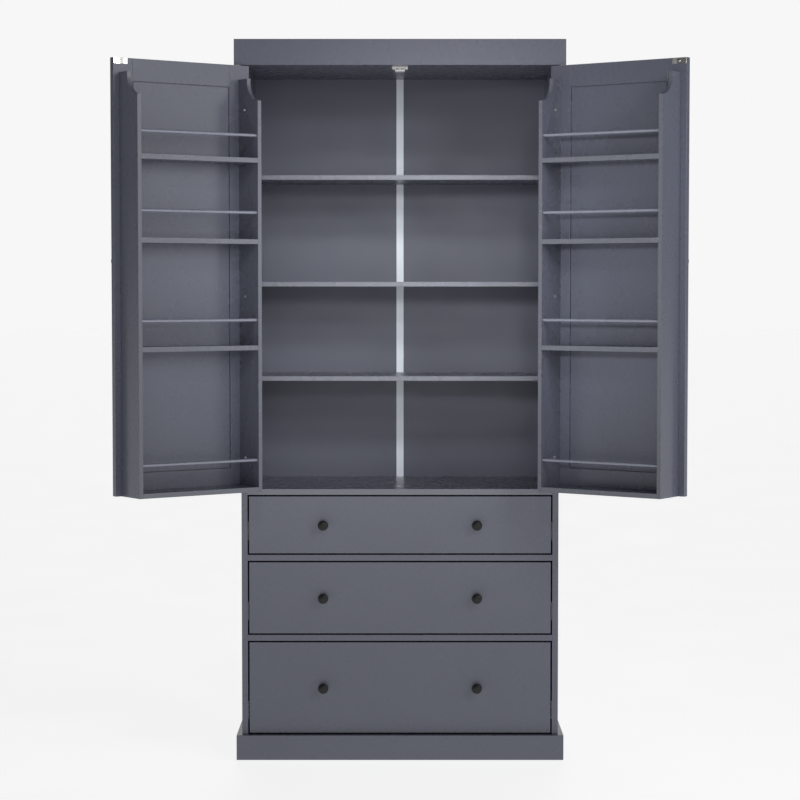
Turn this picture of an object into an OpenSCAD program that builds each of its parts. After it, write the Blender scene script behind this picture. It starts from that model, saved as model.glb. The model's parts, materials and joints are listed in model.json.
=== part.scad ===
// Pantry cabinet with two rack doors over three drawers.
// Millimetres, +Z up, front towards -Y. The origin is on the floor, under the middle of the footprint.

/* [Carcass] */
// Width across the outer faces of the side panels
body_w = 800; // [740:5:860]
// Depth from the front plane to the back plane
body_d = 375; // [360:5:420]
// Overall height, up to the top of the crown
body_h = 1815; // [1780:5:1850]
// Thickness of the carcass boards
board_t = 15; // [15:0.5:16]
// Thickness of the back panels
back_t = 3; // [2.5:0.5:3]
// Height of the glides that keep the boards off the floor
glide_h = 3; // [2:0.5:5]

/* [Crown and plinth] */
// Height of the crown boards
crown_h = 64.5; // [55:0.5:75]
// Thickness of the crown's front board
crown_front_t = 24; // [18:1:30]
// Height of the plinth's top edge above the floor
plinth_top = 66; // [60:1:80]
// Thickness of the plinth's front board
plinth_front_t = 15; // [12:1:18]
// Thickness of the side boards of the crown and the plinth
return_t = 13.5; // [12:0.5:15]

/* [Gaps] */
// Gap round each drawer front
drawer_gap = 4; // [3:0.5:5]
// Gap under each door
reveal = 3; // [2.5:0.5:3.5]
// Gap at the hinge side, over the doors, and from each door to the middle
door_gap = 2.5; // [2.5:0.5:3]

/* [Shelves] */
// Undersides of the three shelves above the floor
shelf_z = [958.5, 1200, 1472];
// Thickness of the shelves
shelf_t = 12; // [12:0.5:15]
// Distance of the shelves' front edges behind the front plane
shelf_setback = 106.5; // [106.5:0.5:120]

/* [Drawers] */
// Heights of the drawer fronts: upper, middle, lower
drawer_front_h = [144, 180.5, 230.5];
// Heights of the drawer sides: upper, middle, lower
drawer_side_h = [110, 140, 180];
// Length of the drawer sides
drawer_box_d = 350; // [340:5:350]
// Thickness of the drawer sides and back
drawer_side_t = 12; // [10:1:13]
// Thickness of the drawer bottoms
drawer_bottom_t = 5; // [4:0.5:6]
// Length of the telescopic slides
slide_l = 345; // [330:5:345]
// Distance of the drawer knobs from the middle
knob_x = 194; // [150:1:250]

/* [Doors] */
// Opening angle at which the doors are drawn
door_open = 144.7; // [0:0.1:180]
// Thickness of the door stiles and rails
door_t = 15; // [15:0.5:16]
// Visible width of the stile beside the hinges
hinge_stile_w = 57; // [50:1:70]
// Visible width of the stile at the free edge
latch_stile_w = 53; // [45:1:65]
// Visible height of the rails
door_rail_h = 54; // [45:1:70]
// Thickness of the door panel
door_panel_t = 8; // [6:0.5:9]
// Height of the door knobs above the floor
door_knob_z = 1261; // [1100:1:1400]
// Distance of the door knobs from the free edge
door_knob_inset = 22; // [20:1:35]
// Width of the shadow groove round the door panel
panel_gap = 2; // [1:0.5:4]

/* [Door racks] */
// Depth of the racks, from the door's inner face to their front edges
rack_depth = 89.5; // [80:0.5:89.5]
// Thickness of the rack's side boards
rack_side_t = 10; // [9:0.5:12]
// Thickness of the rack's shelves
rack_shelf_t = 12; // [10:0.5:12]
// Distance from the hinge edge of the door to the rack
rack_inset_hinge = 20; // [18:0.5:25]
// Distance from the free edge of the door to the rack
rack_inset_free = 16.5; // [14:0.5:20]
// Undersides of the rack's shelves above the floor, over the bottom one
rack_shelf_z = [1043.3, 1304, 1503];
// Centres of the rack's rods above the floor
rack_rod_z = [771.8, 1117.6, 1381.5, 1570.5];
// Diameter of the rack's rods
rod_d = 8; // [6:0.5:10]
// Height of the door above the rack's side boards
rack_top_drop = 35.5; // [30:0.5:50]
// Radius of the hollow curve at the top of the side boards
cove_r = 50; // [40:1:55]

/* [Hardware] */
// Distance of the hinge pins in front of the front plane
pin_front = 4.2; // [4.2:0.1:5]
// Diameter of the hinge pins
pin_d = 5; // [4:0.1:5]
// Height of each hinge
hinge_h = 70; // [60:5:80]
// Distance of the outer hinges from the ends of the door
hinge_end = 100; // [80:5:150]
// Radial clearance of turning and plugged parts
fit_gap = 0.05; // [0.03:0.01:0.1]
// Distance between the two wall brackets
bracket_spacing = 500; // [400:10:600]

/* [Hidden] */
$fn = 48;

paint = "slategray";
metal = "lightgray";

// Carcass planes
front = -body_d / 2;
back = body_d / 2;
half_w = body_w / 2;
inner_x = half_w - board_t;
outer_x = half_w + return_t;
board_back = back - back_t - 2;
top_underside = body_h - crown_h;
rebate_w = 7.5;
back_top = top_underside + board_t;

// Heights of the drawer openings, counted from the upper drawer down
lower_open_z = plinth_top;
middle_open_z = lower_open_z + drawer_front_h[2] + 2 * drawer_gap + board_t;
upper_open_z = middle_open_z + drawer_front_h[1] + 2 * drawer_gap + board_t;
floor_z = upper_open_z + drawer_front_h[0] + 2 * drawer_gap;
open_z = [upper_open_z, middle_open_z, lower_open_z];

// Drawer box and slides
slide_space = 12.7;
box_x = inner_x - slide_space;
box_drop = 12;
slide_front = front + board_t + 3;
slide_rise = 42;
steel_t = 1.2;
groove_d = 5;
bottom_rise = 10;

// Doors, drawn closed with s counted from the hinge edge and n from the outer face
door_w = inner_x - 2 * door_gap;
door_z0 = floor_z + board_t + reveal;
door_z1 = top_underside - door_gap;
panel_n = 6;
tongue = 8;
tongue_t = 4.5;
pin_x = -inner_x;
pin_y = front - pin_front;
leaf_t = 1;
leaf_d = 13.5;
knuckle_r = 3.6;
knuckles = 5;
knuckle_gap = 0.3;
hinge_z = [door_z0 + hinge_end, (door_z0 + door_z1) / 2, door_z1 - hinge_end];

// Racks
rack_s0 = rack_inset_hinge;
rack_s1 = door_w - rack_inset_free;
rack_n = door_t + rack_depth;
rack_z1 = door_z1 - rack_top_drop;
cove_step = 7;
rod_setback = 5.6;
rod_plug = 6;

// Catch
catch_z = top_underside;
catch_front = front + door_t + 2.3;
catch_d = 28;
flange_h = 5.4;
catch_h = 11.3;
strike_l = 38;
strike_h = 14;
strike_t = 1.2;

// A board given by its lowest and highest corners
module board(lo, hi) {
    translate(lo) cube(hi - lo);
}

// The same shape on the left and on the right
module both_sides() {
    children();
    mirror([1, 0, 0]) children();
}

// ---- Carcass ----

// Places of the shelf pins on the left side panel
module pin_places() {
    for (z = shelf_z, y = [front + shelf_setback + 35, board_back - 35])
        translate([-inner_x, y, z - 2.5]) rotate([0, -90, 0]) children();
}

module side_panel() {
    difference() {
        board([-half_w, front, glide_h], [-inner_x, back, body_h]);
        board([-inner_x - rebate_w, back - back_t - 1, 0], [-inner_x + 1, back + 1, body_h + 1]);
        pin_places() translate([0, 0, -1]) cylinder(r = 2.5, h = 11);
    }
}

module side_panel_left() {
    color(paint) side_panel();
}

module side_panel_right() {
    color(paint) mirror([1, 0, 0]) side_panel();
}

module flat_board(z) {
    board([-inner_x, front, z], [inner_x, board_back, z + board_t]);
}

module top_panel() {
    color(paint) flat_board(top_underside);
}

module cabinet_floor() {
    color(paint) flat_board(floor_z);
}

module bottom_panel() {
    color(paint) flat_board(plinth_top - board_t);
}

module drawer_rails() {
    color(paint) for (z = [middle_open_z, upper_open_z])
        board([-inner_x, front, z - board_t], [inner_x, front + 80, z]);
}

module back_panels() {
    color(paint) both_sides()
        board([-inner_x - rebate_w + 0.5, back - back_t - 1, plinth_top - board_t],
            [-1, back - 1, back_top]);
}

// An H-shaped strip that holds the two back panels together
module back_joining_strip() {
    low = plinth_top - board_t;
    color("lightsteelblue") {
        board([-9.5, board_back, low], [9.5, board_back + 1, back_top]);
        board([-0.8, board_back, low], [0.8, back, back_top]);
        board([-9.5, back - 1, low], [9.5, back, back_top]);
    }
}

module crown_front() {
    color(paint) board([-outer_x, front - crown_front_t, top_underside], [outer_x, front, body_h]);
}

module crown_returns() {
    color(paint) both_sides() board([-outer_x, front, top_underside], [-half_w, back, body_h]);
}

module plinth_front() {
    color(paint) board([-outer_x, front - plinth_front_t, glide_h], [outer_x, front, plinth_top]);
}

module plinth_returns() {
    color(paint) both_sides() board([-outer_x, front, glide_h], [-half_w, back, plinth_top]);
}

module shelves() {
    color(paint) for (z = shelf_z)
        board([-inner_x + 0.5, front + shelf_setback, z], [inner_x - 0.5, board_back - 0.5, z + shelf_t]);
}

module shelf_pins() {
    color(metal) both_sides() pin_places() translate([0, 0, -7]) cylinder(r = 2.5 - fit_gap, h = 16.5);
}

module support_feet() {
    color("dimgray") {
        both_sides() for (y = [front + 30, back - 30])
            translate([-half_w + board_t / 2, y, 0]) cylinder(r = 6.5, h = glide_h);
        cylinder(r = 24, h = 6);
        cylinder(r = 15, h = plinth_top - board_t);
        translate([0, 0, plinth_top - board_t - 4]) cylinder(r = 26, h = 4);
    }
}

// ---- Fixed hardware ----

// Pockets for the two magnets, open at the front
module magnet_blocks(spare) {
    for (x = [-6.25, 6.25])
        translate([x - 4.75 - spare, catch_front - 0.3, catch_z - 7.5 - spare])
            cube([9.5 + 2 * spare, 20 + spare, 3.5 + 2 * spare]);
}

module catch_housing() {
    color("white") difference() {
        union() {
            board([-19.5, catch_front, catch_z - flange_h], [19.5, catch_front + catch_d, catch_z]);
            board([-12.5, catch_front, catch_z - catch_h], [12.5, catch_front + catch_d, catch_z]);
        }
        magnet_blocks(0.1);
        translate([0, -1, 0]) magnet_blocks(0.1);
        for (x = [-16, 16])
            translate([x, catch_front + 14, catch_z - 8]) cylinder(r = 1.9, h = 9);
    }
}

module catch_magnets() {
    color("gray") magnet_blocks(0);
}

// A pan-head wood screw that points up from the origin
module pan_screw(length) {
    translate([0, 0, -2]) cylinder(r = 3, h = 2);
    cylinder(r = 1.7, h = length);
}

module bracket_places() {
    for (x = [-bracket_spacing / 2, bracket_spacing / 2])
        translate([x, back, back_top]) children();
}

module cabinet_screws() {
    color(metal) {
        for (x = [-16, 16])
            translate([x, catch_front + 14, catch_z - flange_h]) pan_screw(15);
        bracket_places() for (x = [-9, 9])
            translate([x, -17, 2]) mirror([0, 0, 1]) pan_screw(14);
    }
}

// Steel angles on the top panel, with a hole each for a screw into the wall
module wall_brackets() {
    color(metal) bracket_places() difference() {
        union() {
            board([-16, -32, 0], [16, 0, 2]);
            board([-16, -2, 0], [16, 0, 32]);
        }
        for (x = [-9, 9])
            translate([x, -17, -1]) cylinder(r = 1.9, h = 4);
        translate([0, -3, 19]) rotate([-90, 0, 0]) cylinder(r = 2.75, h = 4);
    }
}

// ---- Hinges, drawn for the left door and closed ----

// Every second knuckle of one hinge, from the given first one
module knuckle_places(first) {
    step = hinge_h / knuckles;
    for (i = [first : 2 : knuckles - 1])
        translate([pin_x, pin_y, i * step - hinge_h / 2 + knuckle_gap / 2]) children();
}

module hinge_leaf(leaf_x, first) {
    knuckle_h = hinge_h / knuckles - knuckle_gap;
    difference() {
        union() {
            board([leaf_x, front + 0.5, -hinge_h / 2], [leaf_x + leaf_t, front + 0.5 + leaf_d, hinge_h / 2]);
            knuckle_places(first) {
                cylinder(r = knuckle_r, h = knuckle_h);
                board([leaf_x - pin_x, 0, 0], [leaf_x + leaf_t - pin_x, pin_front + 1, knuckle_h]);
            }
        }
        translate([pin_x, pin_y, -hinge_h]) cylinder(r = pin_d / 2, h = 2 * hinge_h);
    }
}

module hinge_pin() {
    translate([pin_x, pin_y, -hinge_h / 2]) cylinder(r = pin_d / 2 - fit_gap, h = hinge_h + 1);
    translate([pin_x, pin_y, hinge_h / 2 + 0.1]) cylinder(r = knuckle_r - 0.3, h = 1.5);
}

module cabinet_hinges() {
    color(metal) both_sides() for (z = hinge_z) translate([0, 0, z]) {
        hinge_leaf(-inner_x, 0);
        hinge_pin();
    }
}

// ---- Doors ----

// Turns a closed left door to its drawn angle, and mirrors it for the right side
module hung(side) {
    mirror([side > 0 ? 1 : 0, 0, 0])
        translate([pin_x, pin_y, 0]) rotate([0, 0, -door_open]) translate([-pin_x, -pin_y, 0])
            children();
}

// Puts a shape drawn in s, n and z on the closed left door
module on_door() {
    translate([-inner_x + door_gap, front, 0]) children();
}

// A board as wide and high as the opening of the door frame, and larger by the given margin all round
module panel_board(margin, n0, n1) {
    board([hinge_stile_w - margin, n0, door_z0 + door_rail_h - margin],
        [door_w - latch_stile_w + margin, n1, door_z1 - door_rail_h + margin]);
}

// Groove that takes the tongue of the door panel
module panel_groove() {
    panel_board(tongue + 0.3, panel_n - 0.1, panel_n + tongue_t + 0.1);
}

module door_stiles(side) {
    color(paint) hung(side) on_door() difference() {
        union() {
            board([0, 0, door_z0], [hinge_stile_w, door_t, door_z1]);
            board([door_w - latch_stile_w, 0, door_z0], [door_w, door_t, door_z1]);
        }
        panel_groove();
    }
}

module door_rails(side) {
    color(paint) hung(side) on_door() difference() {
        for (z = [door_z0, door_z1 - door_rail_h])
            board([hinge_stile_w, 0, z], [door_w - latch_stile_w, door_t, z + door_rail_h]);
        panel_groove();
    }
}

module door_panel(side) {
    color(paint) hung(side) on_door() {
        panel_board(tongue, panel_n, panel_n + tongue_t);
        panel_board(-panel_gap, panel_n, panel_n + door_panel_t);
    }
}

module door_hinge_leaves(side) {
    color(metal) hung(side) for (z = hinge_z) translate([0, 0, z])
        hinge_leaf(-inner_x + door_gap - leaf_t, 1);
}

module door_strike_plate(side) {
    color(metal) hung(side) on_door()
        board([door_w - 1 - strike_l, door_t, door_z1 - strike_h - 0.5],
            [door_w - 1, door_t + strike_t, door_z1 - 0.5]);
}

// A mushroom knob on a face at the origin, pointing towards -Y
module knob() {
    rotate([90, 0, 0]) rotate_extrude() polygon([[0, 0], [8, 0], [8, 1.5], [6, 3], [5.2, 8], [6, 12],
        [11, 14.5], [12.75, 17], [12.75, 19], [11.5, 21.5], [9, 23.2], [5, 24.4], [0, 25]]);
}

module door_knob(side) {
    color([0.16, 0.16, 0.16]) hung(side) on_door()
        translate([door_w - door_knob_inset, 0, door_knob_z]) knob();
}

// ---- Door racks ----

// Outline of a rack side board, in depth and height, with its hollow curve at the top
module rack_side_outline() {
    difference() {
        translate([door_t, door_z0]) square([rack_depth, rack_z1 - door_z0]);
        translate([rack_n, rack_z1 - cove_step]) circle(r = cove_r, $fn = 96);
        translate([rack_n - cove_r, rack_z1 - cove_step]) square([cove_r + 1, cove_step + 1]);
    }
}

module rack_rod_places() {
    for (z = rack_rod_z)
        translate([0, rack_n - rod_setback - rod_d / 2, z]) rotate([0, 90, 0]) children();
}

module rack_sides(side) {
    color(paint) hung(side) on_door() difference() {
        for (s = [rack_s0, rack_s1 - rack_side_t])
            translate([s, 0, 0]) rotate([90, 0, 90]) linear_extrude(rack_side_t) rack_side_outline();
        rack_rod_places() translate([0, 0, rack_s0 + rack_side_t - rod_plug])
            cylinder(r = rod_d / 2, h = rack_s1 - rack_s0 - 2 * (rack_side_t - rod_plug));
    }
}

module rack_shelves(side) {
    color(paint) hung(side) on_door() for (z = concat([door_z0], rack_shelf_z))
        board([rack_s0 + rack_side_t, door_t, z], [rack_s1 - rack_side_t, rack_n, z + rack_shelf_t]);
}

module rack_rods(side) {
    length = rack_s1 - rack_s0 - 2 * (rack_side_t - rod_plug) - 0.4;
    color(paint) hung(side) on_door() rack_rod_places()
        translate([0, 0, rack_s0 + rack_side_t - rod_plug + 0.2])
            cylinder(r = rod_d / 2 - fit_gap, h = length);
}

// ---- Drawers, numbered 0, 1 and 2 from the top ----

function front_z(i) = open_z[i] + drawer_gap;
function box_z(i) = front_z(i) + box_drop;

module drawer_front(i) {
    color(paint) board([-inner_x + drawer_gap, front, front_z(i)],
        [inner_x - drawer_gap, front + board_t, front_z(i) + drawer_front_h[i]]);
}

// Slot in the drawer sides and back that takes the bottom
module bottom_groove(i) {
    board([-box_x + drawer_side_t - groove_d, front, box_z(i) + bottom_rise],
        [box_x - drawer_side_t + groove_d, front + board_t + drawer_box_d + 1,
            box_z(i) + bottom_rise + drawer_bottom_t]);
}

module drawer_sides(i) {
    color("darkgray") difference() {
        both_sides() board([-box_x, front + board_t, box_z(i)],
            [-box_x + drawer_side_t, front + board_t + drawer_box_d, box_z(i) + drawer_side_h[i]]);
        bottom_groove(i);
    }
}

module drawer_back(i) {
    far = front + board_t + drawer_box_d;
    low = box_z(i) + bottom_rise + drawer_bottom_t;
    color("darkgray") board([-box_x + drawer_side_t, far - drawer_side_t, low],
        [box_x - drawer_side_t, far, box_z(i) + drawer_side_h[i] - 8]);
}

module drawer_bottom(i) {
    low = box_z(i) + bottom_rise;
    edge_x = box_x - drawer_side_t + groove_d - 0.5;
    color("darkgray") board([-edge_x, front + board_t, low],
        [edge_x, front + board_t + drawer_box_d, low + drawer_bottom_t]);
}

module drawer_knobs(i) {
    color([0.16, 0.16, 0.16]) for (x = [-knob_x, knob_x])
        translate([x, front, front_z(i) + drawer_front_h[i] / 2]) knob();
}

// A channel of a telescopic slide on the left side: u counts from the drawer side to the cabinet side
module slide_channel(i, web_u, lip_u0, lip_u1, half_h) {
    low = box_z(i) + slide_rise;
    translate([-box_x, slide_front, low]) {
        board([-web_u - steel_t, 0, -half_h], [-web_u, slide_l, half_h]);
        for (z = [-half_h, half_h - steel_t])
            board([-lip_u1, 0, z], [-lip_u0, slide_l, z + steel_t]);
    }
}

module slide_outer_members() {
    color(metal) both_sides() for (i = [0 : 2])
        slide_channel(i, slide_space - steel_t, 3, slide_space, 22.5);
}

module slide_middles(i) {
    color(metal) both_sides() slide_channel(i, 8, 2, 8 + steel_t, 19.5);
}

module drawer_slides(i) {
    color(metal) both_sides() slide_channel(i, 0, 0, 6.5, 16.5);
}

side_panel_left();
side_panel_right();
top_panel();
cabinet_floor();
bottom_panel();
drawer_rails();
back_panels();
back_joining_strip();
crown_front();
crown_returns();
plinth_front();
plinth_returns();
shelves();
shelf_pins();
catch_housing();
catch_magnets();
cabinet_screws();
wall_brackets();
support_feet();
cabinet_hinges();
slide_outer_members();
door_stiles(-1);  // left_door_stiles
door_rails(-1);  // left_door_rails
door_panel(-1);  // left_door_panel
door_knob(-1);  // left_door_knob
door_hinge_leaves(-1);  // left_door_hinge_leaves
door_strike_plate(-1);  // left_door_strike_plate
rack_sides(-1);  // left_rack_sides
rack_shelves(-1);  // left_rack_shelves
rack_rods(-1);  // left_rack_rods
door_stiles(1);  // right_door_stiles
door_rails(1);  // right_door_rails
door_panel(1);  // right_door_panel
door_knob(1);  // right_door_knob
door_hinge_leaves(1);  // right_door_hinge_leaves
door_strike_plate(1);  // right_door_strike_plate
rack_sides(1);  // right_rack_sides
rack_shelves(1);  // right_rack_shelves
rack_rods(1);  // right_rack_rods
drawer_front(0);  // upper_drawer_front
drawer_sides(0);  // upper_drawer_sides
drawer_back(0);  // upper_drawer_back
drawer_bottom(0);  // upper_drawer_bottom
drawer_knobs(0);  // upper_drawer_knobs
drawer_slides(0);  // upper_drawer_slides
slide_middles(0);  // upper_slide_middles
drawer_front(1);  // middle_drawer_front
drawer_sides(1);  // middle_drawer_sides
drawer_back(1);  // middle_drawer_back
drawer_bottom(1);  // middle_drawer_bottom
drawer_knobs(1);  // middle_drawer_knobs
drawer_slides(1);  // middle_drawer_slides
slide_middles(1);  // middle_slide_middles
drawer_front(2);  // lower_drawer_front
drawer_sides(2);  // lower_drawer_sides
drawer_back(2);  // lower_drawer_back
drawer_bottom(2);  // lower_drawer_bottom
drawer_knobs(2);  // lower_drawer_knobs
drawer_slides(2);  // lower_drawer_slides
slide_middles(2);  // lower_slide_middles
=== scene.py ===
"""Pantry cabinet: finishes, small hardware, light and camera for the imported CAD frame. Metres, +Z up."""

import json
import math

import bmesh
import bpy
from mathutils import Matrix, Vector


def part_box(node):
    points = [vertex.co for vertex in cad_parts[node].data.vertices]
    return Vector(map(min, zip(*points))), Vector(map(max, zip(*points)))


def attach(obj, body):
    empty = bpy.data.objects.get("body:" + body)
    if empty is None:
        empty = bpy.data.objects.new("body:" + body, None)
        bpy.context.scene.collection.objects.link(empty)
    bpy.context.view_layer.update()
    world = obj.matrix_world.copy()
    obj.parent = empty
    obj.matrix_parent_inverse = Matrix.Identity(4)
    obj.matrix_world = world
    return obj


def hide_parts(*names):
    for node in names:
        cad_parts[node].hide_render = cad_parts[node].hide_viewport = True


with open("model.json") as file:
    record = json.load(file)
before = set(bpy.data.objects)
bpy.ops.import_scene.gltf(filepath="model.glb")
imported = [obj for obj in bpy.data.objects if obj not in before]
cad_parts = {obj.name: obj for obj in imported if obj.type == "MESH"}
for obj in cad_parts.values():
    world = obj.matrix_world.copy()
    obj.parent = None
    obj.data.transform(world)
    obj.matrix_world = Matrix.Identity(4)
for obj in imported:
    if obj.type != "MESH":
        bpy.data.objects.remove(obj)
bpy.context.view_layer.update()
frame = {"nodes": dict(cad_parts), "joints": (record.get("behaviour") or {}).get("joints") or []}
NODES = frame["nodes"]
JOINTS = {j["name"]: j for j in frame["joints"]}

MM = 0.001
SIDES = ("left", "right")
DRAWERS = ("upper", "middle", "lower")
DOOR_TURN = math.radians(144.7)  # how far the doors are drawn open from closed


# ---- Materials ----

class Graph:
    """A node material on a Principled shader, with a few short ways to add nodes."""

    def __init__(self, name, **sockets):
        self.material = bpy.data.materials.new(name)
        self.material.use_nodes = True
        self.tree = self.material.node_tree
        self.shader = self.tree.nodes["Principled BSDF"]
        coordinates = self.add("ShaderNodeTexCoord")
        self.place = coordinates.outputs["Object"]
        self.normal = coordinates.outputs["Normal"]
        for socket, value in sockets.items():
            self.shader.inputs[socket.replace("_", " ")].default_value = value

    def add(self, kind, inputs=(), **settings):
        node = self.tree.nodes.new(kind)
        for key, value in settings.items():
            setattr(node, key, value)
        for key, value in dict(inputs).items():
            if isinstance(value, bpy.types.NodeSocket):
                self.tree.links.new(value, node.inputs[key])
            else:
                node.inputs[key].default_value = value
        return node

    def noise(self, scale, detail=2.0, stretch=(1, 1, 1), shift=0.0, rough=0.5):
        """Noise with this many features a metre, from 0 to 1, drawn out along axes of small stretch."""
        mapped = self.add("ShaderNodeMapping", {
            "Vector": self.place,
            "Location": (shift, shift * 0.7, shift * 1.3),
            "Scale": stretch,
        })
        return self.add("ShaderNodeTexNoise", {
            "Vector": mapped.outputs["Vector"],
            "Scale": scale,
            "Detail": detail,
            "Roughness": rough,
        }).outputs["Fac"]

    def facing(self, way):
        """1 where the piece's own surface looks along way, in the frame at rest, and 0 elsewhere."""
        inputs = {0: self.normal, 1: tuple(way)}
        turned = self.add("ShaderNodeVectorMath", inputs, operation="DOT_PRODUCT")
        return self.ranged(turned.outputs["Value"], 0.0, 1.0, 0.80, 0.90)

    def ranged(self, value, low, high, from_low=0.3, from_high=0.7):
        """The value, with from_low to from_high spread over low to high."""
        return self.add("ShaderNodeMapRange", {
            "Value": value,
            "From Min": from_low,
            "From Max": from_high,
            "To Min": low,
            "To Max": high,
        }).outputs["Result"]

    def mixed(self, factor, first, second):
        """The first colour where the factor is 0 and the second where it is 1."""
        node = self.add("ShaderNodeMix", data_type="RGBA")
        sockets = {i.identifier: i for i in node.inputs}
        values = {"Factor_Float": factor, "A_Color": first, "B_Color": second}
        for key, value in values.items():
            if isinstance(value, bpy.types.NodeSocket):
                self.tree.links.new(value, sockets[key])
            else:
                sockets[key].default_value = value
        return next(o for o in node.outputs if o.identifier == "Result_Color")

    def colour(self, value):
        self.tree.links.new(value, self.shader.inputs["Base Color"])

    def roughness(self, value):
        self.tree.links.new(value, self.shader.inputs["Roughness"])

    def bump(self, *layers):
        """Layers of (height, depth in metres) on top of each other."""
        normal = None
        for height, depth in layers:
            inputs = {"Height": height, "Distance": depth, "Strength": 1.0}
            if normal is not None:
                inputs["Normal"] = normal
            normal = self.add("ShaderNodeBump", inputs).outputs["Normal"]
        self.tree.links.new(normal, self.shader.inputs["Normal"])


def shade(colour, factor):
    """The colour this many times as light, as RGBA."""
    return tuple(c * factor for c in colour) + (1.0,)


PAINT = (0.108, 0.115, 0.153)
FRONT_LIGHT_PAINT = (0.110, 0.116, 0.138)


def painted_board(name="painted_board", front=None, painted_light=1.0, tint=1.0, polish=(0.25, 0.30)):
    """Sprayed satin paint on board: fine orange peel, faint clouding, and polish that changes a little.

    Where front is given, faces that look that way are painted lighter, as painted light for the light they
    catch.
    """
    g = Graph(name, Specular_IOR_Level=0.45)
    paint = tuple(tint * c for c in PAINT)
    clouds = g.ranged(g.noise(2.2, 3.0), 0.0, 1.0)
    specks = g.ranged(g.noise(900.0, 2.0, shift=3.1), 0.0, 1.0, 0.62, 0.8)
    base = g.mixed(clouds, shade(paint, 0.965), shade(paint, 1.035))
    # Painted light: faces that look toward front get a lighter colour that stands for the extra light
    # falling on them.
    if front is not None:
        lit_front = g.mixed(clouds, shade(FRONT_LIGHT_PAINT, painted_light * 0.97), shade(FRONT_LIGHT_PAINT, painted_light * 1.03))
        base = g.mixed(g.facing(front), base, lit_front)
    g.colour(g.mixed(specks, base, shade(paint, 1.12 * painted_light)))
    g.roughness(g.ranged(g.noise(14.0, 5.0, shift=1.7, rough=0.6), *polish))
    g.bump((g.noise(420.0, 2.0, shift=5.0), 0.000026), (g.noise(30.0, 1.0, shift=8.0), 0.00003))
    return g.material


def board_of(name, grain):
    """Grey foil-wrapped board of the drawer boxes, with a short grain along one axis."""
    g = Graph(name, Specular_IOR_Level=0.35)
    foil = (0.20, 0.21, 0.24)
    stretch = tuple(0.06 if axis == grain else 1.0 for axis in range(3))
    streaks = g.noise(520.0, 4.0, stretch=stretch, rough=0.6)
    clouds = g.ranged(g.noise(5.0, 3.0, shift=2.0), 0.0, 0.6)
    base = g.mixed(g.ranged(streaks, 0.0, 1.0), shade(foil, 0.90), shade(foil, 1.08))
    g.colour(g.mixed(clouds, base, shade(foil, 1.0)))
    g.roughness(g.ranged(streaks, 0.48, 0.62))
    g.bump((streaks, 0.00012))
    return g.material


def joining_strip():
    """Extruded pale plastic, with the die's faint lines along its length."""
    g = Graph("joining_strip_plastic", Specular_IOR_Level=0.5)
    plastic = (0.84, 0.90, 0.97)
    lines = g.noise(1400.0, 2.0, stretch=(1, 1, 0.01))
    clouds = g.ranged(g.noise(6.0, 3.0), 0.0, 1.0)
    g.colour(g.mixed(clouds, shade(plastic, 0.97), shade(plastic, 1.03)))
    g.roughness(g.ranged(g.noise(60.0, 3.0, shift=4.0), 0.30, 0.42))
    g.bump((lines, 0.00004))
    return g.material


def moulded(name, plastic, low, high, grain=1600.0):
    """Injection-moulded plastic: fine spark-eroded grain and slightly uneven gloss."""
    g = Graph(name, Specular_IOR_Level=0.5)
    g.colour(g.mixed(g.ranged(g.noise(40.0, 3.0), 0.0, 1.0), shade(plastic, 0.95), shade(plastic, 1.04)))
    g.roughness(g.ranged(g.noise(220.0, 3.0, shift=2.2), low, high))
    g.bump((g.noise(grain, 1.0, shift=6.0), 0.00003))
    return g.material


def knob_finish():
    """Cast knob under a charcoal powder coat."""
    g = Graph("knob_metal", Specular_IOR_Level=0.28)
    coat = (0.013, 0.013, 0.012)
    fine = g.noise(1900.0, 2.0)
    g.colour(g.mixed(g.ranged(fine, 0.0, 1.0), shade(coat, 0.75), shade(coat, 1.45)))
    g.roughness(g.ranged(g.noise(300.0, 3.0, shift=1.0), 0.36, 0.52))
    g.bump((fine, 0.00006), (g.noise(260.0, 2.0, shift=3.0), 0.00008))
    return g.material


def metal(name, tint, low, high, stretch=(1, 1, 1), scale=700.0, depth=0.00003):
    """Bare or plated metal with fine drawing or tumbling marks."""
    g = Graph(name, Metallic=1.0)
    marks = g.noise(scale, 4.0, stretch=stretch, rough=0.65)
    clouds = g.ranged(g.noise(30.0, 4.0, shift=4.0), 0.0, 1.0)
    base = g.mixed(clouds, shade(tint, 0.88), shade(tint, 1.06))
    g.colour(g.mixed(g.ranged(marks, 0.0, 0.5), base, shade(tint, 0.82)))
    g.roughness(g.ranged(marks, low, high))
    g.bump((marks, depth))
    return g.material


MATERIALS = {
    "painted_board": painted_board(),
    "drawer_board": board_of("drawer_board", 1),
    "drawer_board_cross": board_of("drawer_board_cross", 0),
    "joining_strip_plastic": joining_strip(),
    "catch_plastic": moulded("catch_plastic", (0.78, 0.78, 0.755), 0.28, 0.40),
    "foot_plastic": moulded("foot_plastic", (0.05, 0.05, 0.052), 0.45, 0.60, 900.0),
    "knob_metal": knob_finish(),
    "steel_hardware": metal("steel_hardware", (0.56, 0.56, 0.58), 0.26, 0.42),
    "slide_steel": metal(
        "slide_steel", (0.36, 0.365, 0.38), 0.32, 0.48, stretch=(1, 0.04, 1), scale=900.0),
    "polished_steel": metal(
        "polished_steel", (0.80, 0.80, 0.79), 0.07, 0.20, scale=350.0, depth=0.00001),
    "magnet_steel": metal("magnet_steel", (0.34, 0.33, 0.32), 0.30, 0.45),
}

# How much lighter the front faces are painted than the paint, as painted light, by the end of the node's
# name
FRONT_PAINTED_LIGHT = {"shelves": 1.6, "cabinet_floor": 1.4, "rack_shelves": 1.3, "rack_sides": 1.2}
# How much lighter the rods' front half is painted, as a painted highlight
ROD_PAINTED_HIGHLIGHT = 2.1


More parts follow.
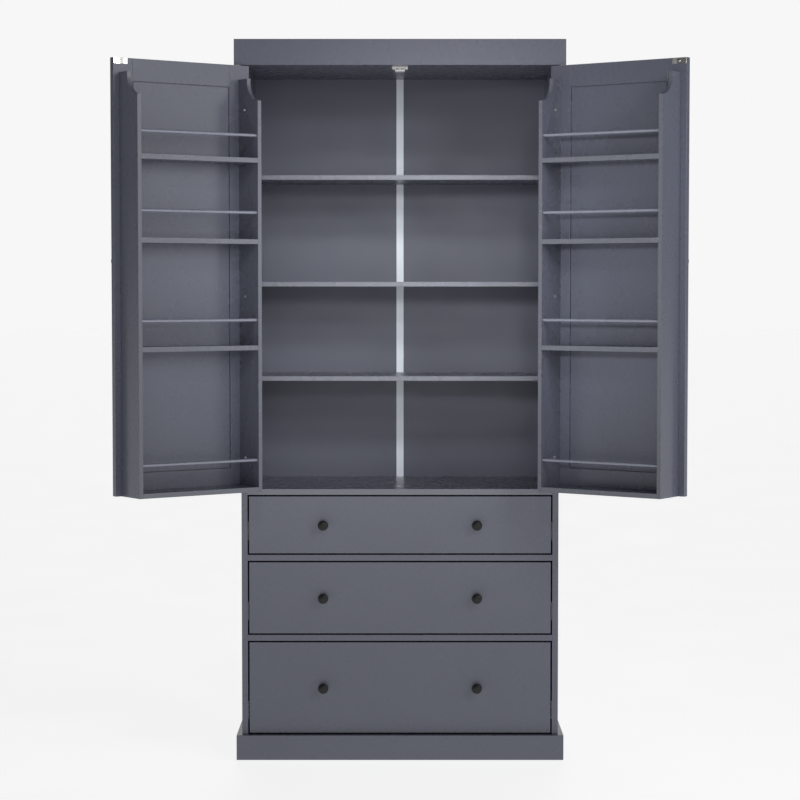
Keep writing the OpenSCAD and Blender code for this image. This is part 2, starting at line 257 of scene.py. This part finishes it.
def looks_out(node):
    """The way a node's front edges look at rest: out of the cabinet, or into the room from an open door."""
    if not node.startswith(SIDES):
        return Vector((0, -1, 0))
    sign = 1 if node.startswith("left") else -1
    return Vector((sign * math.sin(DOOR_TURN), math.cos(DOOR_TURN), 0))


def finish_of(node):
    """The material for a CAD node: its slot's, or a variant for its grain, its painted light on front faces
    or its place.
    """
    if node.endswith(("drawer_back", "drawer_bottom")):
        return MATERIALS["drawer_board_cross"]
    if node == "back_panels":
        # Back boards: the same paint, made 1.04 times lighter as painted light for the light inside the
        # cabinet, and rougher.
        return painted_board("back_board_paint", tint=1.04, polish=(0.40, 0.50))
    if node.endswith("rack_rods"):
        # Rods: the paint made 1.6 times lighter all over and lighter still on the front half, as a painted
        # highlight.
        return painted_board(node + "_paint", looks_out(node), ROD_PAINTED_HIGHLIGHT, tint=1.6)
    # Painted light: front faces of shelves, floor and racks are painted lighter for the light they catch.
    for ending, painted_light in FRONT_PAINTED_LIGHT.items():
        if node.endswith(ending) and not (ending == "shelves" and node != "shelves"):
            return painted_board(node + "_paint", looks_out(node), painted_light)
    return MATERIALS[NODES[node].material_slots[0].material.name]


# ---- CAD nodes ----

def crisp_shading(sharp_turn, flat_turn, flat_area):
    """A node group for smooth shading that breaks at sharp edges and round large flat faces.

    An edge is sharp where its faces turn by more than sharp_turn degrees. Round a face with more than
    flat_area square metres, flat_turn degrees are enough.
    """
    group = bpy.data.node_groups.new("crisp_shading", "GeometryNodeTree")
    group.interface.new_socket("Geometry", in_out="INPUT", socket_type="NodeSocketGeometry")
    group.interface.new_socket("Geometry", in_out="OUTPUT", socket_type="NodeSocketGeometry")

    def over(value, limit):
        node = group.nodes.new("FunctionNodeCompare")
        node.data_type = "FLOAT"
        node.operation = "GREATER_THAN"
        node.inputs["B"].default_value = limit
        group.links.new(value, node.inputs["A"])
        return node.outputs["Result"]

    def logic(operation, first, second):
        node = group.nodes.new("FunctionNodeBooleanMath")
        node.operation = operation
        group.links.new(first, node.inputs[0])
        group.links.new(second, node.inputs[1])
        return node.outputs[0]

    turn = group.nodes.new("GeometryNodeInputMeshEdgeAngle").outputs["Unsigned Angle"]
    area = group.nodes.new("GeometryNodeInputMeshFaceArea").outputs[0]
    flat = logic("AND", over(turn, math.radians(flat_turn)), over(area, flat_area))
    sharp = logic("OR", over(turn, math.radians(sharp_turn)), flat)
    normals = group.nodes.new("GeometryNodeSetMeshNormal")
    normals.mode = "SHARPNESS"
    normals.inputs["Remove Custom"].default_value = True
    normals.inputs["Face Sharpness"].default_value = False
    group.links.new(sharp, normals.inputs["Edge Sharpness"])
    group.links.new(group.nodes.new("NodeGroupInput").outputs[0], normals.inputs["Mesh"])
    group.links.new(normals.outputs["Mesh"], group.nodes.new("NodeGroupOutput").inputs[0])
    return group


SHADING = crisp_shading(sharp_turn=20, flat_turn=1, flat_area=0.0002)
WELD_REACH = 0.01 * MM
SHARP_CORNER = math.radians(40)


def soften(node, width):
    """Rounds the sharp edges of a CAD node a little, by modifiers only."""
    weld = NODES[node].modifiers.new("weld", "WELD")
    weld.merge_threshold = WELD_REACH
    bevel = NODES[node].modifiers.new("edges", "BEVEL")
    bevel.width = width
    bevel.segments = 2
    bevel.limit_method = "ANGLE"
    bevel.angle_limit = SHARP_CORNER
    bevel.use_clamp_overlap = True
    NODES[node].modifiers.new("shading", "NODES").node_group = SHADING


for node_name, node_object in NODES.items():
    node_object.material_slots[0].material = finish_of(node_name)

# Width of the rounded edges in mm, by a part of the node's name; the smallest that fits counts
EDGE_WIDTHS = {
    "panel": 0.6, "cabinet_floor": 0.6, "drawer_rails": 0.6, "crown": 0.7, "plinth": 0.7,
    "shelves": 0.7, "door_stiles": 0.6, "door_rails": 0.4, "door_panel": 0.4,
    "rack_sides": 0.7, "rack_rods": 0.5,
    "drawer_front": 0.5, "drawer_sides": 0.7, "drawer_back": 0.5, "drawer_bottom": 0.4,
    "catch_housing": 0.6, "catch_magnets": 0.2, "strike_plate": 0.3, "joining_strip": 0.2,
    "wall_brackets": 0.25, "hinges": 0.15, "hinge_leaves": 0.15, "slide": 0.2,
    "back_panels": 0.3, "support_feet": 0.5,
}
for node_name in NODES:
    widths = [w for key, w in EDGE_WIDTHS.items() if key in node_name]
    if widths:
        soften(node_name, min(widths) * MM)


# ---- Pieces ----

# Values of the CAD source that boxes alone don't give, in metres
DOOR_W = 0.380
DOOR_T = 0.015
DOOR_GAP = 0.0025
KNOB_INSET = 0.022
KNOB_Z = 1.261
KNOB_R = 0.01275
HINGE_END = 0.100  # from a door's end to the middle of the hinge next to it
SCREW_RISE = 0.024  # between the screws of a hinge leaf
SCREW_DEPTH = {-1: 0.0085, 0: 0.0065, 1: 0.0085}  # behind the front plane, the middle one nearer
LEAF_T = 0.001
STRIKE_T = 0.0012
STRIKE_CENTRE = (0.360, 1.7405)  # from the hinge edge, and above the floor
RACK_BOARDS = (0.030, 0.3535)  # the faces of the rack's side boards that look at each other
RACK_SCREW_N = 0.026  # from the door's inner face
RACK_SCREWS_Z = (0.775, 1.175, 1.636)
SLIDE_T = 0.0012
SLIDE_SCREWS_Y = (-0.150, -0.010, 0.160)

floor_lo, floor_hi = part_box("cabinet_floor")
FRONT = floor_lo.y
INNER_X = floor_hi.x
door_lo, door_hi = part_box("left_door_stiles")
HINGE_Z = (door_lo.z + HINGE_END, (door_lo.z + door_hi.z) / 2, door_hi.z - HINGE_END)


def door_frame(side):
    """From a closed left door's s, n, z (hinge edge, outer face, floor) to where the door is drawn."""
    sign = -1 if side == "left" else 1
    pin = Vector(JOINTS[f"{side}_door_hinge"]["pos_m"])
    place = Matrix.Translation((-INNER_X + DOOR_GAP, FRONT, 0))
    centre = Matrix.Translation((-abs(pin.x), pin.y, 0))
    turned = centre @ Matrix.Rotation(-DOOR_TURN, 4, "Z") @ centre.inverted() @ place
    if sign > 0:
        turned = Matrix.Scale(-1, 4, (1, 0, 0)) @ turned
    return turned


DOOR = {side: door_frame(side) for side in SIDES}


def lathe(profile, segments=64):
    """A closed solid turned about +Z from (radius, height) points, the first and last on the axis."""
    bm = bmesh.new()
    rings = []
    for radius, height in profile:
        if radius < 1e-9:
            rings.append([bm.verts.new((0, 0, height))])
            continue
        ring = []
        for k in range(segments):
            a = 2 * math.pi * k / segments
            ring.append(bm.verts.new((radius * math.cos(a), radius * math.sin(a), height)))
        rings.append(ring)
    for low, high in zip(rings, rings[1:]):
        for k in range(segments):
            after = (k + 1) % segments
            bottom = [low[k % len(low)], low[after % len(low)]]
            top = [high[after % len(high)], high[k % len(high)]]
            bm.faces.new(list(dict.fromkeys(bottom + top)))
    bmesh.ops.recalc_face_normals(bm, faces=bm.faces)
    return bm


def smoothed(points, steps=4):
    """The points with a Catmull-Rom curve through them."""
    ends = [points[0], *points, points[-1]]
    out = []
    for a, b, c, d in zip(ends, ends[1:], ends[2:], ends[3:]):
        for k in range(steps):
            t = k / steps
            weights = (
                (-t + 2 * t ** 2 - t ** 3) / 2,
                (2 - 5 * t ** 2 + 3 * t ** 3) / 2,
                (t + 4 * t ** 2 - 3 * t ** 3) / 2,
                (t ** 3 - t ** 2) / 2,
            )
            out.append(tuple(sum(w * p[i] for w, p in zip(weights, (a, b, c, d))) for i in range(2)))
    return out + [points[-1]]


def to_mesh(bm, name):
    """The bmesh as a mesh; the bmesh is freed."""
    mesh = bpy.data.meshes.new(name)
    bm.to_mesh(mesh)
    bm.free()
    return mesh


def cut(mesh, cutter):
    """The mesh with the cutter's volume taken away."""
    body = bpy.data.objects.new("body_of_cut", mesh)
    tool = bpy.data.objects.new("tool_of_cut", cutter)
    for obj in (body, tool):
        bpy.context.scene.collection.objects.link(obj)
    boolean = body.modifiers.new("cut", "BOOLEAN")
    boolean.operation = "DIFFERENCE"
    boolean.solver = "MANIFOLD"
    boolean.object = tool
    result = bpy.data.meshes.new_from_object(body.evaluated_get(bpy.context.evaluated_depsgraph_get()))
    for obj in (body, tool):
        bpy.data.objects.remove(obj)
    return result


def cross_recess(reach, width, top, depth):
    """A tapered cross that cuts a screwdriver's recess."""
    bm = bmesh.new()
    for turn in (0, 90):
        spin = Matrix.Rotation(math.radians(turn), 3, "Z")
        corners = []
        for height, shrink in ((top - depth, 0.45), (top + 0.0004, 1.0)):
            for x, y in ((-1, -1), (1, -1), (1, 1), (-1, 1)):
                corners.append(bm.verts.new(spin @ Vector((x * reach * shrink, y * width / 2, height))))
        for face in ((3, 2, 1, 0), (4, 5, 6, 7), (0, 1, 5, 4), (1, 2, 6, 5), (2, 3, 7, 6), (3, 0, 4, 7)):
            bm.faces.new([corners[i] for i in face])
    bmesh.ops.recalc_face_normals(bm, faces=bm.faces)
    return to_mesh(bm, "recess")


HEAD_SINK = 0.0003  # how deep a head reaches into the surface under it
WASHER_T = 0.0009


def screw_head(radius, height, washer=0.0):
    """A screw head with a cross recess, standing on the origin and looking along +Z."""
    base = 0.0
    profile = [(0, -HEAD_SINK)]
    if washer:
        base = WASHER_T
        profile += [(washer * 0.98, -HEAD_SINK), (washer, 0.0)]
        profile += [(washer, base - 0.0002), (washer * 0.95, base)]
    else:
        profile += [(radius, -HEAD_SINK)]
    end = math.sin(math.radians(75))
    for k in range(7):
        a = math.radians(k * 12.5)
        profile.append((radius * math.cos(a) ** 0.7, base + height * math.sin(a) / end))
    top = base + height
    profile.append((0, top))
    head = to_mesh(lathe(profile, 40), "head")
    depth = min(0.0012, top * 0.9 + 0.0002)
    return cut(head, cross_recess(radius * 0.55, radius * 0.22, top, depth))


def nail_head(radius, height):
    """A low domed nail head, standing on the origin and looking along +Z."""
    profile = [(0, -0.0002), (radius, -0.0002), (radius, height * 0.3)]
    for k in range(1, 6):
        a = math.radians(90 * k / 6)
        profile.append((radius * math.cos(a), height * (0.3 + 0.7 * math.sin(a))))
    return to_mesh(lathe([*profile, (0, height)], 24), "nail")


def placed(meshes):
    """One mesh of several, each with the matrix that places it."""
    bm = bmesh.new()
    for mesh, matrix in meshes:
        part = bmesh.new()
        part.from_mesh(mesh)
        part.transform(matrix)
        if matrix.determinant() < 0:
            bmesh.ops.reverse_faces(part, faces=part.faces)
        moved = bpy.data.meshes.new("moved")
        part.to_mesh(moved)
        part.free()
        bm.from_mesh(moved)
        bpy.data.meshes.remove(moved)
    return to_mesh(bm, "placed")


def standing(point, way, spin=0.0):
    """A matrix that puts +Z of a part along way, at the point."""
    turn = Vector(way).to_track_quat("Z", "Y").to_matrix().to_4x4()
    return Matrix.Translation(point) @ turn @ Matrix.Rotation(math.radians(spin), 4, "Z")


def piece(name, mesh, body, finish):
    """An object for the mesh that rides on a body, with a material."""
    mesh.name = name
    obj = bpy.data.objects.new(name, mesh)
    bpy.context.scene.collection.objects.link(obj)
    mesh.materials.clear()
    mesh.materials.append(MATERIALS[finish])
    mesh.shade_smooth()
    mesh.set_sharp_from_angle(angle=math.radians(35))
    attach(obj, body)
    return obj


def on_door(side, s, n, z, way, spin=0.0):
    """A place on a door: s from the hinge edge, n from the outer face, and way in the same terms."""
    return DOOR[side] @ standing((s, n, z), way, spin)


# Knobs: radius and height in mm, the CAD's profile with its arcs drawn smoothly
KNOB_FOOT = [(0, 0), (7.4, 0), (7.9, 0.3), (8.0, 0.9), (7.8, 1.5)]
KNOB_NECK = [(7.8, 1.5), (6.6, 2.4), (5.7, 4.2), (5.25, 7.0), (5.3, 9.8), (6.1, 12.0)]
KNOB_HEAD = [
    (8.1, 13.3), (10.6, 14.3), (12.2, 15.7), (12.75, 17.6), (12.45, 19.4),
    (11.3, 21.2), (9.2, 22.8), (6.4, 24.0), (3.2, 24.75), (0, 25.0),
]
KNOB_PROFILE = KNOB_FOOT + smoothed(KNOB_NECK + KNOB_HEAD)
knob_mesh = to_mesh(lathe([(r * MM, h * MM) for r, h in KNOB_PROFILE], 64), "knob")

bolt = screw_head(0.0042, 0.0022, washer=0.0065)

for drawer in DRAWERS:
    lo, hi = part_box(f"{drawer}_drawer_knobs")
    knob_z = (lo.z + hi.z) / 2
    knob_places = []
    bolt_places = []
    for x in (lo.x + KNOB_R, hi.x - KNOB_R):
        knob_places.append((knob_mesh, standing((x, hi.y, knob_z), (0, -1, 0))))
        bolt_places.append((bolt, standing((x, FRONT + DOOR_T, knob_z), (0, 1, 0), 20)))
    knobs = piece(f"{drawer}_drawer_turned_knobs", placed(knob_places), f"{drawer}_drawer", "knob_metal")
    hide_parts(f"{drawer}_drawer_knobs")
    piece(f"{drawer}_drawer_knob_bolts", placed(bolt_places), f"{drawer}_drawer", "steel_hardware")

for side in SIDES:
    knob_place = on_door(side, DOOR_W - KNOB_INSET, 0, KNOB_Z, (0, -1, 0))
    knob = piece(f"{side}_door_turned_knob", placed([(knob_mesh, knob_place)]), f"{side}_door", "knob_metal")
    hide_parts(f"{side}_door_knob")

# Screws of the hinge leaves, of the strike plates and of the racks, each turned its own way
leaf_screw = screw_head(0.0029, 0.00016)
plate_screw = screw_head(0.0031, 0.0008)
rack_screw = screw_head(0.0046, 0.0022)
for side in SIDES:
    sign = -1 if side == "left" else 1
    cabinet_places = []
    door_places = []
    for number, hinge_z in enumerate(HINGE_Z):
        for step, depth in SCREW_DEPTH.items():
            z = hinge_z + step * SCREW_RISE
            turn = 25 * step + 40 * number
            point = (sign * (INNER_X - LEAF_T), FRONT + depth, z)
            cabinet_places.append((leaf_screw, standing(point, (-sign, 0, 0), turn)))
            door_places.append((leaf_screw, on_door(side, -LEAF_T, depth, z, (-1, 0, 0), turn)))
    piece(f"{side}_hinge_screws_in_cabinet", placed(cabinet_places), "cabinet", "steel_hardware")
    piece(f"{side}_hinge_screws_in_door", placed(door_places), f"{side}_door", "steel_hardware")
    strike_s, strike_z = STRIKE_CENTRE
    plate_place = on_door(side, strike_s, DOOR_T + STRIKE_T, strike_z, (0, 1, 0), 30)
    plate_screws = placed([(plate_screw, plate_place)])
    piece(f"{side}_strike_plate_screw", plate_screws, f"{side}_door", "polished_steel")
    rack_places = []
    for number, z in enumerate(RACK_SCREWS_Z):
        for s, way in zip(RACK_BOARDS, ((1, 0, 0), (-1, 0, 0))):
            rack_places.append((rack_screw, on_door(side, s, DOOR_T + RACK_SCREW_N, z, way, 35 * number)))
    piece(f"{side}_rack_screws", placed(rack_places), f"{side}_door", "steel_hardware")

# Nails that hold the back boards in their rebates
NAILS_UP = 13
NAILS_ACROSS = 8
NAIL_EDGE = 0.0035  # from the boards' side edges
NAIL_END = 0.005  # from their top and bottom edges
FIRST_UP = 0.03  # from the ends of a board's side edge
FIRST_ACROSS = 0.06  # from the corners, along the top and bottom edges
back_low, back_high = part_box("back_panels")
nail = nail_head(0.0022, 0.0006)
nail_places = []
for k in range(NAILS_UP):
    z = back_low.z + FIRST_UP + (back_high.z - back_low.z - 2 * FIRST_UP) * k / (NAILS_UP - 1)
    for sign in (-1, 1):
        point = (sign * (back_high.x - NAIL_EDGE), back_high.y, z)
        nail_places.append((nail, standing(point, (0, 1, 0))))
for k in range(NAILS_ACROSS):
    x = back_low.x + FIRST_ACROSS + (back_high.x - back_low.x - 2 * FIRST_ACROSS) * k / (NAILS_ACROSS - 1)
    for z in (back_low.z + NAIL_END, back_high.z - NAIL_END):
        nail_places.append((nail, standing((x, back_high.y, z), (0, 1, 0))))
piece("back_board_nails", placed(nail_places), "cabinet", "steel_hardware")

# Screws of the slides' outer members
slide_screw = screw_head(0.0034, 0.0011)
for drawer in DRAWERS:
    low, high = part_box(f"{drawer}_slide_middles")
    centre = (low.z + high.z) / 2
    places = []
    for sign in (-1, 1):
        for number, y in enumerate(SLIDE_SCREWS_Y):
            point = (sign * (INNER_X - SLIDE_T), y, centre)
            places.append((slide_screw, standing(point, (-sign, 0, 0), 30 * number)))
    piece(f"{drawer}_slide_screws", placed(places), "cabinet", "steel_hardware")


# ---- Stage, light and camera ----

def stage_floor():
    """A wide plain floor, a little lit from itself so that it stays pale behind the cabinet."""
    bm = bmesh.new()
    bmesh.ops.create_circle(bm, cap_ends=True, segments=96, radius=60.0)
    mesh = to_mesh(bm, "floor")
    floor = bpy.data.objects.new("floor", mesh)
    bpy.context.scene.collection.objects.link(floor)
    g = Graph("floor_paint", Specular_IOR_Level=0.25, Emission_Color=(1, 1, 1, 1), Emission_Strength=0.82)
    clouds = g.ranged(g.noise(0.7, 2.0), 0.0, 1.0)
    g.colour(g.mixed(clouds, shade((1, 1, 1), 0.29), shade((1, 1, 1), 0.31)))
    g.roughness(g.ranged(g.noise(3.0, 2.0), 0.55, 0.62))
    mesh.materials.append(g.material)


def direction(azimuth, elevation):
    """The unit vector this way, in degrees: azimuth 0 is straight in front and 90 on the right."""
    a = math.radians(azimuth)
    e = math.radians(elevation)
    return Vector((math.sin(a) * math.cos(e), -math.cos(a) * math.cos(e), math.sin(e)))


def add_area(name, azimuth, elevation, distance, size, power, target=(0, 0, 1.0)):
    """A square soft box that looks at the target from a distance and isn't seen itself."""
    away = direction(azimuth, elevation)
    data = bpy.data.lights.new(name, "AREA")
    data.size = size
    data.energy = power
    lamp = bpy.data.objects.new(name, data)
    lamp.visible_camera = False
    lamp.location = Vector(target) + away * distance
    lamp.rotation_euler = away.to_track_quat("Z", "Y").to_euler()
    bpy.context.scene.collection.objects.link(lamp)


def add_spot(name, place, target, angle, blend, radius, power):
    """A soft-edged spotlight with a cone of this many degrees that looks at the target."""
    data = bpy.data.lights.new(name, "SPOT")
    data.spot_size = math.radians(angle)
    data.spot_blend = blend
    data.shadow_soft_size = radius
    data.energy = power
    lamp = bpy.data.objects.new(name, data)
    lamp.location = place
    lamp.rotation_euler = (Vector(target) - Vector(place)).to_track_quat("-Z", "Y").to_euler()
    bpy.context.scene.collection.objects.link(lamp)


def set_world(backdrop, lobes):
    """A plain backdrop, and soft round lights far off: (azimuth, elevation, tightness, strength) each."""
    world = bpy.data.worlds.new("studio")
    world.use_nodes = True
    tree = world.node_tree

    def add(kind, operation, first, *rest):
        node = tree.nodes.new(kind)
        node.operation = operation
        tree.links.new(first, node.inputs[0])
        for number, value in enumerate(rest, 1):
            if isinstance(value, bpy.types.NodeSocket):
                tree.links.new(value, node.inputs[number])
            else:
                node.inputs[number].default_value = value
        return node.outputs["Value"]

    way = tree.nodes.new("ShaderNodeTexCoord").outputs["Generated"]
    total = None
    for azimuth, elevation, tightness, strength in lobes:
        along = add("ShaderNodeVectorMath", "DOT_PRODUCT", way, direction(azimuth, elevation))
        fall = add("ShaderNodeMath", "MULTIPLY_ADD", along, tightness, math.log(strength) - tightness)
        lobe = add("ShaderNodeMath", "EXPONENT", fall)
        total = lobe if total is None else add("ShaderNodeMath", "ADD", total, lobe)
    light = tree.nodes["Background"]
    tree.links.new(total, light.inputs["Strength"])
    light.inputs["Color"].default_value = (1, 1, 1, 1)
    plain = tree.nodes.new("ShaderNodeBackground")
    plain.inputs["Color"].default_value = shade((1, 1, 1), backdrop)
    mix = tree.nodes.new("ShaderNodeMixShader")
    tree.links.new(tree.nodes.new("ShaderNodeLightPath").outputs["Is Camera Ray"], mix.inputs["Fac"])
    tree.links.new(light.outputs[0], mix.inputs[1])
    tree.links.new(plain.outputs[0], mix.inputs[2])
    tree.links.new(mix.outputs[0], tree.nodes["World Output"].inputs["Surface"])
    bpy.context.scene.world = world


CAMERA_PLACE = (0, -5.7741, 1.1965)
CAMERA_DIP = 2.887  # degrees below level


def set_camera():
    data = bpy.data.cameras.new("camera")
    data.lens = 100
    data.sensor_width = 36
    camera = bpy.data.objects.new("camera", data)
    camera.location = CAMERA_PLACE
    camera.rotation_euler = (math.radians(90 - CAMERA_DIP), 0, 0)
    bpy.context.scene.collection.objects.link(camera)
    bpy.context.scene.camera = camera


stage_floor()
set_world(0.93, [
    (180, 10, 7, 0.9),
    (0, -8, 22, 1.6),
    (60, 12, 22, 1.1),
    (35, 12, 22, 0.3),
    (-60, 12, 22, 0.15),
])
add_area("key", 40, 24, 3.5, 0.8, 22)
add_area("low_front", 0, -4, 3.0, 1.2, 4.0, target=(0, 0, 0.8))
add_area("right_side", 68, 12, 3.0, 1.0, 7.0)
add_area("left_side", -68, 12, 3.0, 1.0, 1.0)
add_spot("right", (2.6, -4.0, 2.6), (0, 0, 1.25), 18, 1.0, 0.3, 80)
add_spot("right_door", (-1.5, -3.5, 1.8), (0.5, -0.25, 1.3), 21, 0.9, 0.2, 215)
add_spot("left_door", (1.5, -3.5, 1.8), (-0.5, -0.25, 1.3), 21, 0.9, 0.2, 78)
add_spot("middle", (0.3, -4.5, 1.9), (0, 0, 1.2), 13, 1.0, 0.3, 105)
add_spot("middle_high", (0.5, -4.1, 2.75), (0, 0, 1.25), 17, 0.9, 0.22, 50)
add_spot("high", (0.0, -3.0, 3.0), (0, 0, 1.1), 20, 0.8, 0.3, 170)
set_camera()
bpy.context.scene.view_settings.view_transform = "Standard"
